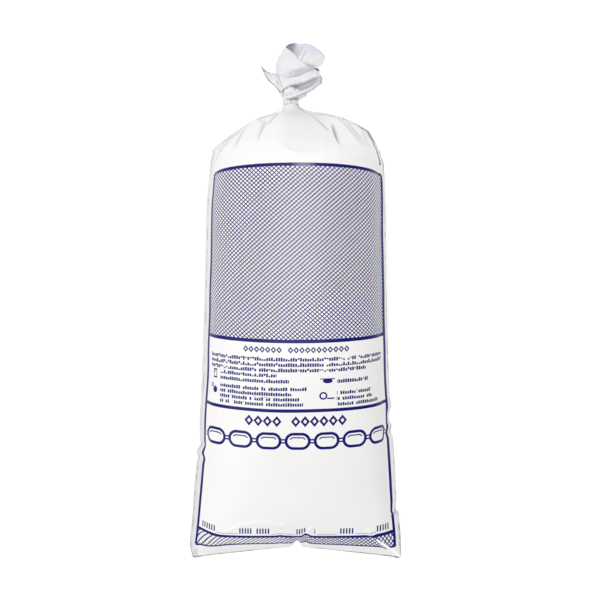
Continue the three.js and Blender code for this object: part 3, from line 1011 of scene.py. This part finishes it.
# painted highlight: a narrow band along the corner fold
over_fold = add(tree, TIMES_PLUS, flat_u, HIGHLIGHT_ACROSS, add(tree, TIMES, flat_v, HIGHLIGHT_ALONG))
fold_highlight = add(tree, WITHIN, over_fold, -HIGHLIGHT_OFFSET, HIGHLIGHT_HALF)
fold_highlight = add(tree, TIMES, fold_highlight, add(tree, MORE, flat_u, HIGHLIGHT_FROM))
ink_faded = add(tree, RANGE, oval_reach(*INK_FADE_SIDES), INK_FADE_CORE, 1.0, INK_FADE_STRENGTH, 0.0)
ink_faded = add(tree, LARGER, ink_faded, fold_highlight)
ink_left = add(tree, MINUS, 1.0, ink_faded)

# %% Mix the ink over the film
INK_NAVY = "000669"
ink = add(tree, TIMES, ink, on_front)
ink = add(tree, LARGER, ink, border_ink)
ink = add(tree, TIMES, ink, ink_left)
# painted highlight: the film is pure white along the fold
film = add(tree, BLEND, fold_highlight, *UNUSED, film, srgb(WHITE), out=2)
paint = add(tree, BLEND, ink, *UNUSED, film, srgb(INK_NAVY), out=2)
tree.links.new(paint, shader.inputs["Base Color"])

# %% [markdown]
# ## Loose film
# Above the tie the same film has nothing white behind it, so it looks a little greyer and cooler,
# and light from the bright floor comes through it. Its hard folds get thin grey lines of painted
# shade from a UV map that counts the folds, and its far edge has the faint blue of the print
# behind.

# %% Loose film
LOOSE_WHITE = "EEEEF0"
LOOSE_MILKY = "E4E4E8"
PRINT_TINT = "C4C7E6"
FOLDS = "folds"
# painted shade lines along the tail's hard folds
# place round the tail, half width, fold counted from the tie, half height, strength
FOLD_LINES = [
    (2.6, 2.0, 0.0, 0.35, 1.0), (2.6, 2.0, 1.9, 0.22, 0.4), (6.0, 0.05, 11.9, 1.0, 0.35),
    (4.45, 0.2, 3.8, 2.4, 0.8), (0.3, 0.1, 7.4, 1.2, 0.22), (3.85, 0.35, 0.4, 0.6, 0.75),
]
TINT_FROM, TINT_TO, TINT_STRENGTH = 12.6, 14.0, 0.5
BACK_FROM = 5.0  # the first five places round the tail are its front
CLEARNESS = 0.1

loose_film, tree, shader, film = polyethylene("loose_polyethylene_film", LOOSE_WHITE, LOOSE_MILKY)
fold_split = add(tree, SPLIT, add(tree, ("ShaderNodeUVMap", {"uv_map": FOLDS}))).node
# painted shade: each fold line darkens the loose film towards the grey
for around, half_around, fold, half, strength in FOLD_LINES:
    line = add(tree, WITHIN, fold_split.outputs[0], around, half_around)
    beside = add(tree, WITHIN, fold_split.outputs[1], fold, half)
    line = add(tree, TIMES, line, beside)
    line = add(tree, TIMES, line, strength)
    film = add(tree, BLEND, line, *UNUSED, film, srgb(EDGE_GREY), out=2)
tint = add(tree, RANGE, fold_split.outputs[1], TINT_FROM, TINT_TO, 0.0, TINT_STRENGTH)
behind = add(tree, MORE, fold_split.outputs[0], BACK_FROM)
tint = add(tree, TIMES, tint, behind)
film = add(tree, BLEND, tint, *UNUSED, film, srgb(PRINT_TINT), out=2)
tree.links.new(film, shader.inputs["Base Color"])
through_film = add(tree, ("ShaderNodeBsdfTranslucent", {}), film)
surface = add(tree, ("ShaderNodeMixShader", {}), CLEARNESS, shader.outputs[0], through_film)
tree.links.new(surface, tree.nodes["Material Output"].inputs["Surface"])
print("loose film", LOOSE_WHITE, "lets through", CLEARNESS)

# %% [markdown]
# ## The film's cut edge
# Seen on edge, the film is a grey line, so its rims are painted grey: a painted shade line along
# the loose film's outline. It gets a material of its own, used only on the rims of loose film.

# %% Cut edge
# painted shade: the greys of the loose film's rims
EDGE_DARK, EDGE_PALE = "6C6C76", "A2A2AA"
EDGE_GRAIN_MM = 2
EDGE_ROUGHNESS = 0.6
cut_edge, tree, shader = new_material("polyethylene_cut_edge", {"Roughness": EDGE_ROUGHNESS})
where = add(tree, PLACE, out=3)
grain = add(tree, NOISE, where, None, 1 / (EDGE_GRAIN_MM * MM), DETAIL)
greys = add(tree, BLEND, grain, *UNUSED, srgb(EDGE_DARK), srgb(EDGE_PALE), out=2)
tree.links.new(greys, shader.inputs["Base Color"])
print("cut edge", EDGE_DARK, "to", EDGE_PALE)

# %% Make the body
piece_from(film_body(), "film_body", printed_film, "bag")

# %% [markdown]
# ## The crumpled tail
# Above the tie the spare film opens into a crushed pocket. We name its folds from the neck up:
# a hem that juts out, a hollow behind it, a lip and a ridge, a valley, then the tall front panel.
# Each fold is a closed ring of ten points, five in front and five behind, and a tube grid is
# drawn through the rings. A cloth simulation would crumple too, but never into these very folds.

# %% Rings of the tail, from the tie's top in millimetres
TAIL_ROOT = Vector((neck.x, TIE_TOP_Y, neck.z))
TAIL_FRONT = {
    "collar": [
        (-3.5, -1.3, 1.8), (-1.8, -1.7, 3.2), (0.3, -1.9, 4), (2.4, -1.4, 3.4), (4.5, -0.5, 1.8)
    ],
    "hem root": [(-3.9, -0.5, 2.5), (-0.6, -1.5, 5), (3.6, -0.8, 7), (9, 1.6, 5.5), (13.8, 4.6, 3)],
    "hem": [(-4.1, -1.1, 3.2), (-0.2, -1.9, 6.8), (5.8, -0.2, 9), (11.2, 1.8, 9), (16.2, 5.6, 6.5)],
    "hem inner": [(-4.1, -0.3, 4), (0.8, -0.4, 7.8), (6, 0.9, 10), (11, 3, 10.2), (16.2, 6.8, 8.2)],
    "hollow": [
        (-4.7, 0.9, 2.2), (-0.4, 2.2, 2.2), (5.5, 3.8, 2.4), (11.2, 6.1, 2.8), (16.6, 8.7, 5)
    ],
    "hollow back": [
        (-5.2, 2.5, 2.8), (-1.2, 5, 2), (5.1, 6.5, 2.2), (11.1, 9, 2.4), (16.6, 10, 4.8)
    ],
    "lip": [(-5.4, 3.3, 4.5), (0.6, 5.3, 8), (6.9, 6.1, 9.8), (12.2, 8.3, 10), (16.3, 10, 8)],
    "ridge": [(-7, 8.1, 5.5), (-1.7, 8.2, 9), (3.6, 8.9, 11), (8.4, 10.4, 11.2), (14.8, 12.7, 8)],
    "valley": [
        (-7.7, 10.9, 4.4), (-2.8, 9.2, 7), (3.2, 10.1, 6.6), (8.1, 12, 7.2), (13.4, 14.9, 6.2)
    ],
    "brow": [
        (-7.3, 11.9, 6), (-1.6, 12.3, 10.5), (3.6, 13.2, 12.8), (8.4, 14.1, 12), (12.8, 15.1, 8.5)
    ],
    "panel": [
        (-7.3, 17.3, 6.5), (-2.8, 17.7, 10), (1.7, 16.8, 11.5), (6.9, 15.1, 11.5), (13.1, 15, 8)
    ],
    "upper": [(-5.9, 21.9, 6), (-1.7, 21.4, 9.5), (3, 19, 11.2), (7.7, 16, 11.4), (13.5, 15, 7.8)],
    "high": [
        (-4.3, 24.7, 5.5), (-0.4, 23.2, 8.8), (3.8, 19.7, 10.6),
        (8.6, 15.7, 10.8), (13.8, 15.1, 7.4)
    ],
    "rim": [(-2.7, 27, 5), (1.7, 22.8, 8), (6, 18.2, 10), (10.5, 15, 10), (14.1, 15.1, 7)],
    "edge": [
        (-2.6, 27.2, 4.6), (1.8, 23, 7.6), (6.1, 18.4, 9.6), (10.6, 15.2, 9.6), (14.2, 15.2, 6.8)
    ],
}
TAIL_BACK = {
    "collar": [
        (-3.6, -0.3, -1.8), (-1.9, -0.1, -3.2), (0.2, 0.2, -4), (2.4, 0.4, -3.4), (4.5, 0.5, -1.8)
    ],
    "hem root": [
        (-4.1, 0.9, -2.2), (-1.5, 2.6, -5.5), (1.6, 3.5, -6.5), (6.6, 3.8, -5), (12.7, 5, -1)
    ],
    "hem": [(-4.5, 1.5, -2), (-0.8, 4.5, -7.5), (4.7, 6.7, -8.6), (10.9, 7.7, -6.5), (16.8, 8, 1)],
    "hem inner": [
        (-4.7, 2, -2), (-0.8, 5.4, -8), (5.1, 7.8, -9), (11.3, 8.8, -6.6), (17.2, 9.2, 1.1)
    ],
    "hollow": [
        (-5, 3.1, -2.2), (-0.8, 6.7, -8.5), (5.1, 9.3, -9.5), (11.3, 9.9, -6.8), (17.2, 10.4, 1.2)
    ],
    "hollow back": [
        (-5.3, 4.3, -2.4), (-1, 8.2, -8.8), (5.1, 10.8, -9.8), (11.3, 11.4, -6.9), (16.9, 11.4, 1.4)
    ],
    "lip": [
        (-5.6, 5.4, -2.5), (-1.2, 9.6, -9), (5.1, 12.2, -10), (11.3, 12.9, -7), (16.7, 11.5, 1.6)
    ],
    "ridge": [
        (-7.1, 9.6, -2.8), (-1.8, 13.4, -9.4), (5.1, 16, -10.8),
        (10.5, 16.5, -7.2), (15.7, 13.7, 1.4)
    ],
    "valley": [
        (-7.9, 13.3, -3), (-2.5, 17.3, -9.2), (3.7, 19.8, -10), (9.5, 18.7, -5.5), (16.1, 15.6, 1)
    ],
    "brow": [(-7.8, 16.4, -3), (-2.7, 20.9, -9), (3.5, 22.8, -9), (9.7, 19.9, -2), (14.4, 16.2, 3)],
    "panel": [
        (-7.5, 20.5, -2.6), (-2.7, 23.2, -5.5), (2.4, 21.6, 1.8),
        (7.3, 16.9, 9.6), (14.3, 15.4, 6.4)
    ],
    "upper": [
        (-6.1, 24.5, -1.5), (-0.8, 26.9, -4.5), (2.4, 22.2, 5), (6.3, 18.5, 10.4), (15.3, 16.2, 7.6)
    ],
    "high": [
        (-4.1, 27.2, -0.5), (0.1, 29.2, -4), (3.9, 23.6, 4.6), (7.8, 21.7, 9.8), (17.5, 18.7, 6.8)
    ],
    "rim": [(-2.8, 28.1, 2), (0.8, 30.7, -2), (5.4, 26.8, 2.6), (9, 24.3, 8), (18.9, 20.7, 6)],
    "edge": [
        (-2.7, 27.9, 3), (0.8, 30.7, 1.5), (6.6, 30.5, 1.2), (11.8, 28.8, 4.5), (19.8, 21.6, 5.6)
    ],
}
tail_rings = [TAIL_FRONT[name] + TAIL_BACK[name][::-1] for name in TAIL_FRONT]
print("tail folds", len(tail_rings))


# %% Curves through points
def through(points, t, closed):
    """A smooth curve through the points, t running over their numbers."""
    n = len(points)
    i = int(t) if closed else min(int(t), n - 2)
    f = t - i
    near = (k % n if closed else min(n - 1, max(0, k)) for k in range(i - 1, i + 3))
    a, b, c, d = (Vector(points[k]) for k in near)
    square, cube = 2 * a - 5 * b + 4 * c - d, 3 * b - a - 3 * c + d
    return 0.5 * (2 * b + (c - a) * f + square * f**2 + cube * f**3)


def folded(points, t, rounding):
    """Straight from point to point, with each corner rounded off."""
    joint = round(t)
    d = t - joint
    if abs(d) >= rounding or joint in (0, len(points) - 1):
        i = min(int(t), len(points) - 2)
        return points[i].lerp(points[i + 1], t - i)
    before = points[joint].lerp(points[joint - 1], rounding)
    after = points[joint].lerp(points[joint + 1], rounding)
    s = (d + rounding) / (2 * rounding)
    return before.lerp(points[joint], s).lerp(points[joint].lerp(after, s), s)


# %% Crumple, and a sheet drawn through rings
CRUMPLE_SIZE = 6.0
CRUMPLE_TOP, CRUMPLE_MIDDLE = 0.45, 0.2
POCKET_ROUNDING, POCKET_CRUMPLE = 0.2, 0.8
FILM_SHOWN = 0.45  # thicker than the real film, so that its edge shows


def crumpled(mesh, depth, size):
    """Pushes the sheet into small flat cells with sharp valleys between them."""
    mesh.normal_update()
    moves = {}
    for vertex in mesh.verts:
        near = noise.voronoi(vertex.co / (size * MM))[0]
        out = min(CRUMPLE_TOP, near[1] - near[0]) - CRUMPLE_MIDDLE
        moves[vertex] = vertex.normal * out * depth * MM
    for vertex, move in moves.items():
        vertex.co += move


def sheet_through(rings, columns, rows, closed, rounding, depth, size):
    """A grid drawn through the rings, then crumpled, with a UV map that counts their folds."""
    mesh = bmesh.new()
    bmesh.ops.create_grid(mesh, x_segments=columns, y_segments=rows, size=0.5)
    folds = mesh.loops.layers.uv.new(FOLDS)
    around = len(rings[0]) if closed else len(rings[0]) - 1
    last = len(rings) - 1
    count = 1 if closed else 0.5  # an open sheet has a dark fold only at its first line
    for face in mesh.faces:
        for loop in face.loops:
            g, h = loop.vert.co.x + 0.5, loop.vert.co.y + 0.5
            loop[folds].uv = (g * around, h * last * count)
    for vertex in mesh.verts:
        g, h = vertex.co.x + 0.5, vertex.co.y + 0.5
        t = (g * around) % around if closed else g * around
        line = [through(ring, t, closed) for ring in rings]
        vertex.co = (TAIL_ROOT + folded(line, h * last, rounding)) * MM
    if closed:
        bmesh.ops.remove_doubles(mesh, verts=mesh.verts, dist=MERGE_MM * MM)
    crumpled(mesh, depth, size)
    bmesh.ops.recalc_face_normals(mesh, faces=mesh.faces)
    return mesh


def film_piece(mesh, name):
    piece = piece_from(mesh, name, loose_film, "bag")
    piece.data.materials.append(cut_edge)
    wall = piece.modifiers.new("film thickness", "SOLIDIFY")
    wall.thickness = FILM_SHOWN * MM
    wall.offset = 0
    wall.material_offset_rim = 1
    return piece


pocket = sheet_through(tail_rings, 200, 196, True, POCKET_ROUNDING, POCKET_CRUMPLE, CRUMPLE_SIZE)
film_piece(pocket, "tail_pocket")

# %% [markdown]
# ## Loose corners and a ruffle
# A long pointed corner of film stands out to the left of the tie, a short wisp to the right, and
# a small knob beside the hem. Each is an open sheet through a few lines, such as its hanging edge,
# the crest of its fold and its upper edge. Inside the hem a small ruffle is crushed.

# %% Left corner, right wisp, right knob and ruffle
RUFFLE_CRUMPLE_SIZE = 3.6
LEFT_CORNER = [
    [(-3.5, -1.7, 0.4), (-5.2, 1.9, 0.6), (-8.1, 5.5, 1.5), (-13.1, 10.2, 3), (-16.4, 15.7, 8)],
    [(-3.3, -1.3, 2), (-4.7, 2.0, 3.4), (-7.3, 5.1, 4.8), (-12.1, 9.5, 6.2), (-16.2, 15.5, 8.3)],
    [(-3.9, 1.2, 2), (-5.8, 4.8, 2.6), (-7.6, 8.7, 3.4), (-12.5, 12.0, 5.2), (-16.0, 15.1, 8)],
    [(-4.4, 3.0, 3.6), (-6.7, 8.0, 4.8), (-7.8, 11.7, 6), (-12.5, 12.7, 6.6), (-15.8, 14.7, 8.1)],
]
RIGHT_WISP = [
    [(3.7, 0.6, 2.0), (5.3, 1.6, 3.2), (6.8, 2.1, 4.2), (7.9, 2.5, 4.6), (8.8, 2.7, 4.6)],
    [(4.1, -0.9, 3.0), (5.6, -0.4, 5.2), (7.0, 0.1, 6.4), (8.1, 0.6, 6.8), (9.3, 2.0, 6.6)],
    [(4.5, -1.2, 0.5), (5.8, -0.8, 2.2), (7.2, -0.6, 3.6), (8.6, -0.1, 4.2), (9.4, 1.6, 5.2)],
]
RUFFLE = [
    [(-3.8, -1.3, 2), (-1.0, -0.9, 4), (1.7, -0.4, 5.5), (4.9, 1.1, 6)],
    [(-3.7, 0.2, 5), (-1.7, 0.4, 7.0), (1.3, 0.7, 7.6), (5.3, 1.5, 6.6)],
    [(-3.4, 2.3, 5.5), (-1.1, 3.0, 8.0), (1.9, 2.9, 7.8), (5.6, 2.5, 5.2)],
    [(-3.7, 4.4, 2.6), (-1.4, 5.6, 2.6), (2.0, 5.6, 2.6), (5.9, 4.5, 2.6)],
]
RIGHT_KNOB = [
    [(13.3, 14.8, 7.0), (14.3, 14.5, 7.6), (15.4, 14.3, 7.4), (16.3, 14.2, 6.6)],
    [(13.6, 14.4, 6.0), (14.5, 13.5, 6.4), (15.3, 13.2, 6.0), (15.8, 13.8, 5.6)],
    [(13.4, 14.3, 4.4), (14.3, 13.7, 4.4), (15.2, 13.4, 4.2), (15.7, 13.7, 4.2)],
]
# name, lines, columns, rows, rounding of its folds, depth and size of its crumple
LOOSE_BITS = [
    ("tail_left_corner", LEFT_CORNER, 70, 50, 0.35, 0.5, CRUMPLE_SIZE),
    ("tail_right_wisp", RIGHT_WISP, 40, 30, 0.4, 0.4, CRUMPLE_SIZE),
    ("tail_right_knob", RIGHT_KNOB, 30, 20, 0.4, 0.4, CRUMPLE_SIZE),
    ("tail_ruffle", RUFFLE, 90, 60, 0.4, 2.2, RUFFLE_CRUMPLE_SIZE),
]
for name, lines, columns, rows, rounding, depth, size in LOOSE_BITS:
    film_piece(sheet_through(lines, columns, rows, False, rounding, depth, size), name)

# %% [markdown]
# ## The tie
# A narrow white tape is drawn tight round the neck, and its end overlaps its start. Spinning a
# small rounded profile about the neck's axis makes the turn; the end that lies over it is the
# same profile spun only part of the way, a little further out. The tape is soft vinyl, calendered
# smooth, so it is glossier than the film, with fine lines along its length.

# %% Vinyl tape
TAPE_WHITE = "F4F4F3"
TAPE_LINE_MM = 0.5
TAPE_STRETCH = (0.05, 1.0, 0.05)  # draws the noise out into lines that run round the neck
TAPE_BUMP, TAPE_BUMP_MM = 0.5, 0.03
TAPE_ROUGHNESS, VINYL_IOR = 0.25, 1.53
DUST_FROM, DUST_TO, DUST_STRENGTH = 0.3, 0.7, 0.35
sockets = {"Roughness": TAPE_ROUGHNESS, "IOR": VINYL_IOR}
tape, tree, shader = new_material("white_vinyl_tape", sockets)
along_tape = add(tree, ("ShaderNodeMapping", {}), add(tree, PLACE, out=3), None, None, TAPE_STRETCH)
lines = add(tree, NOISE, along_tape, None, 1 / (TAPE_LINE_MM * MM), DETAIL, GRAIN)
tree.links.new(add(tree, BUMP, TAPE_BUMP, TAPE_BUMP_MM * MM, None, lines), shader.inputs["Normal"])
dust = add(tree, RANGE, lines, DUST_FROM, DUST_TO, 0.0, DUST_STRENGTH)
colour = add(tree, BLEND, dust, *UNUSED, srgb(TAPE_WHITE), srgb(EDGE_GREY), out=2)
tree.links.new(colour, shader.inputs["Base Color"])
print("tape", TAPE_WHITE, "lines", TAPE_LINE_MM, "mm apart")


# %% Wind the tape
TAPE_THICK = 0.6
TURN_UNDER, END_UNDER = 0.55, 0.1  # how far inside the tie's radius each turn lies
END_NARROWER = 0.86
TAPE_END_FROM, TAPE_END_SWEEP = -0.6, 1.5
STEPS_PER_RADIAN = 10
TAPE_EDGE, SHARP_ANGLE = 0.15, 0.8


def tape_turn(radius, width, start, sweep):
    mesh = bmesh.new()
    bmesh.ops.create_grid(mesh, x_segments=1, y_segments=1, size=0.5)
    for vertex in mesh.verts:
        out, along = vertex.co.x * TAPE_THICK, vertex.co.y * width
        vertex.co = Vector((radius + out, neck.y + along, 0)) * MM
    bmesh.ops.spin(
        mesh, geom=mesh.faces[:], cent=(0, 0, 0), axis=(0, 1, 0), angle=sweep,
        steps=round(STEPS_PER_RADIAN * sweep), use_merge=sweep == 2 * math.pi,
    )
    bmesh.ops.rotate(mesh, verts=mesh.verts, cent=(0, 0, 0), matrix=Matrix.Rotation(start, 3, "Y"))
    edges = [edge for edge in mesh.edges if edge.calc_face_angle(0) > SHARP_ANGLE]
    bmesh.ops.bevel(
        mesh, geom=edges, offset=TAPE_EDGE * MM, offset_type="OFFSET", affect="EDGES",
        segments=2, profile=0.5, material=-1,
    )
    bmesh.ops.translate(mesh, verts=mesh.verts, vec=Vector((neck.x, 0, neck.z)) * MM)
    bmesh.ops.recalc_face_normals(mesh, faces=mesh.faces)
    return mesh


turn_round = tape_turn(TIE_RADIUS - TURN_UNDER, TIE_WIDTH, 0, 2 * math.pi)
overlap = tape_turn(TIE_RADIUS - END_UNDER, END_NARROWER * TIE_WIDTH, TAPE_END_FROM, TAPE_END_SWEEP)
piece_from(turn_round, "neck_tape", tape, "neck_tie")
piece_from(overlap, "neck_tape_end", tape, "neck_tie")

# %% [markdown]
# ## Studio
# The pack lies on a light table: a sheet of opal acrylic that glows softly from below, so that
# the floor stays white and the shadows faint. The strongest softbox hangs straight above, weaker
# ones fill from the left and from behind, and the room is dim, so the edges of the film turn grey.

# %% Floor
TABLE_WHITE = "C8C8C8"
TABLE_GLOW, TABLE_ROUGHNESS = 0.5, 0.9
TABLE_HALF_M = 3
floor_data = bpy.data.meshes.new("studio_floor")
mesh = bmesh.new()
bmesh.ops.create_grid(mesh, x_segments=1, y_segments=1, size=TABLE_HALF_M)
mesh.to_mesh(floor_data)
mesh.free()
floor = bpy.data.objects.new("studio_floor", floor_data)
bpy.context.scene.collection.objects.link(floor)
table_top, tree, shader = new_material("opal_acrylic_light_table", {
    "Base Color": srgb(TABLE_WHITE),
    "Roughness": TABLE_ROUGHNESS,
    "Emission Color": srgb(WHITE),
    "Emission Strength": TABLE_GLOW,
})
floor_data.materials.append(table_top)
floor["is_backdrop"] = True

# %% Lights
# name, place in metres, power in watts
LIGHTS = [
    ("top_softbox", (0.0, 0.0, 1.6), 12.0),
    ("front_left_softbox", (-0.9, -0.8, 1.1), 5.3),
    ("left_softbox", (-1.2, 0.0, 0.9), 3.2),
    ("back_softbox", (0.0, 1.2, 0.9), 3.1),
    ("back_right_softbox", (0.7, 1.0, 1.05), 4.3),
]
SOFTBOX_SIZE = 1.0
AIM = Vector((0, 0, 0.02))
ROOM_STRENGTH = 0.34
for name, place, power in LIGHTS:
    lamp = bpy.data.lights.new(name, "AREA")
    lamp.size = SOFTBOX_SIZE
    lamp.energy = power
    stand = bpy.data.objects.new(name, lamp)
    stand.location = place
    stand.rotation_euler = (AIM - stand.location).to_track_quat("-Z", "Y").to_euler()
    bpy.context.scene.collection.objects.link(stand)

world = bpy.data.worlds.new("dim_room")
world.use_nodes = True
backdrop = world.node_tree.nodes["Background"]
backdrop.inputs["Color"].default_value = srgb(WHITE)
backdrop.inputs["Strength"].default_value = ROOM_STRENGTH
bpy.context.scene.world = world
bpy.context.scene.view_settings.view_transform = "Standard"
print("lights", len(LIGHTS))

# %% [markdown]
# ## Camera
# The photo looks straight down from about 46 cm, close enough for the raised middle to look a
# little larger than the flat ends. The lens follows from the pack's size in the picture.

# %% Camera above the pack
CAMERA_PLACE = (3.15, 1.8, 459.0)
PICTURE_PIXELS = 600
MM_PER_PIXEL_PER_MM = 0.0013176
SENSOR = 36.0
NEAREST_M = 0.01
camera_data = bpy.data.cameras.new("photo_camera")
camera_data.sensor_width = SENSOR
camera_data.lens = SENSOR / (PICTURE_PIXELS * MM_PER_PIXEL_PER_MM)
camera_data.clip_start = NEAREST_M
camera = bpy.data.objects.new("photo_camera", camera_data)
camera.location = Vector(CAMERA_PLACE) * MM
bpy.context.scene.collection.objects.link(camera)
bpy.context.scene.camera = camera
print("lens", round(camera_data.lens, 2))

# %% [markdown]
# ## Measure
# The dressed pack's box is measured beside the imported solids' box; loose film may reach past it.
# The dressed pack must stay within the imported solids' box, give or take the film's looseness.

# %% Show the sizes and finish
low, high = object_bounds()
{"cad": [list(cad_low), list(cad_high)], "visual": [list(low), list(high)]}
print("visual box", [round(v / MM, 1) for v in (*low, *high)])
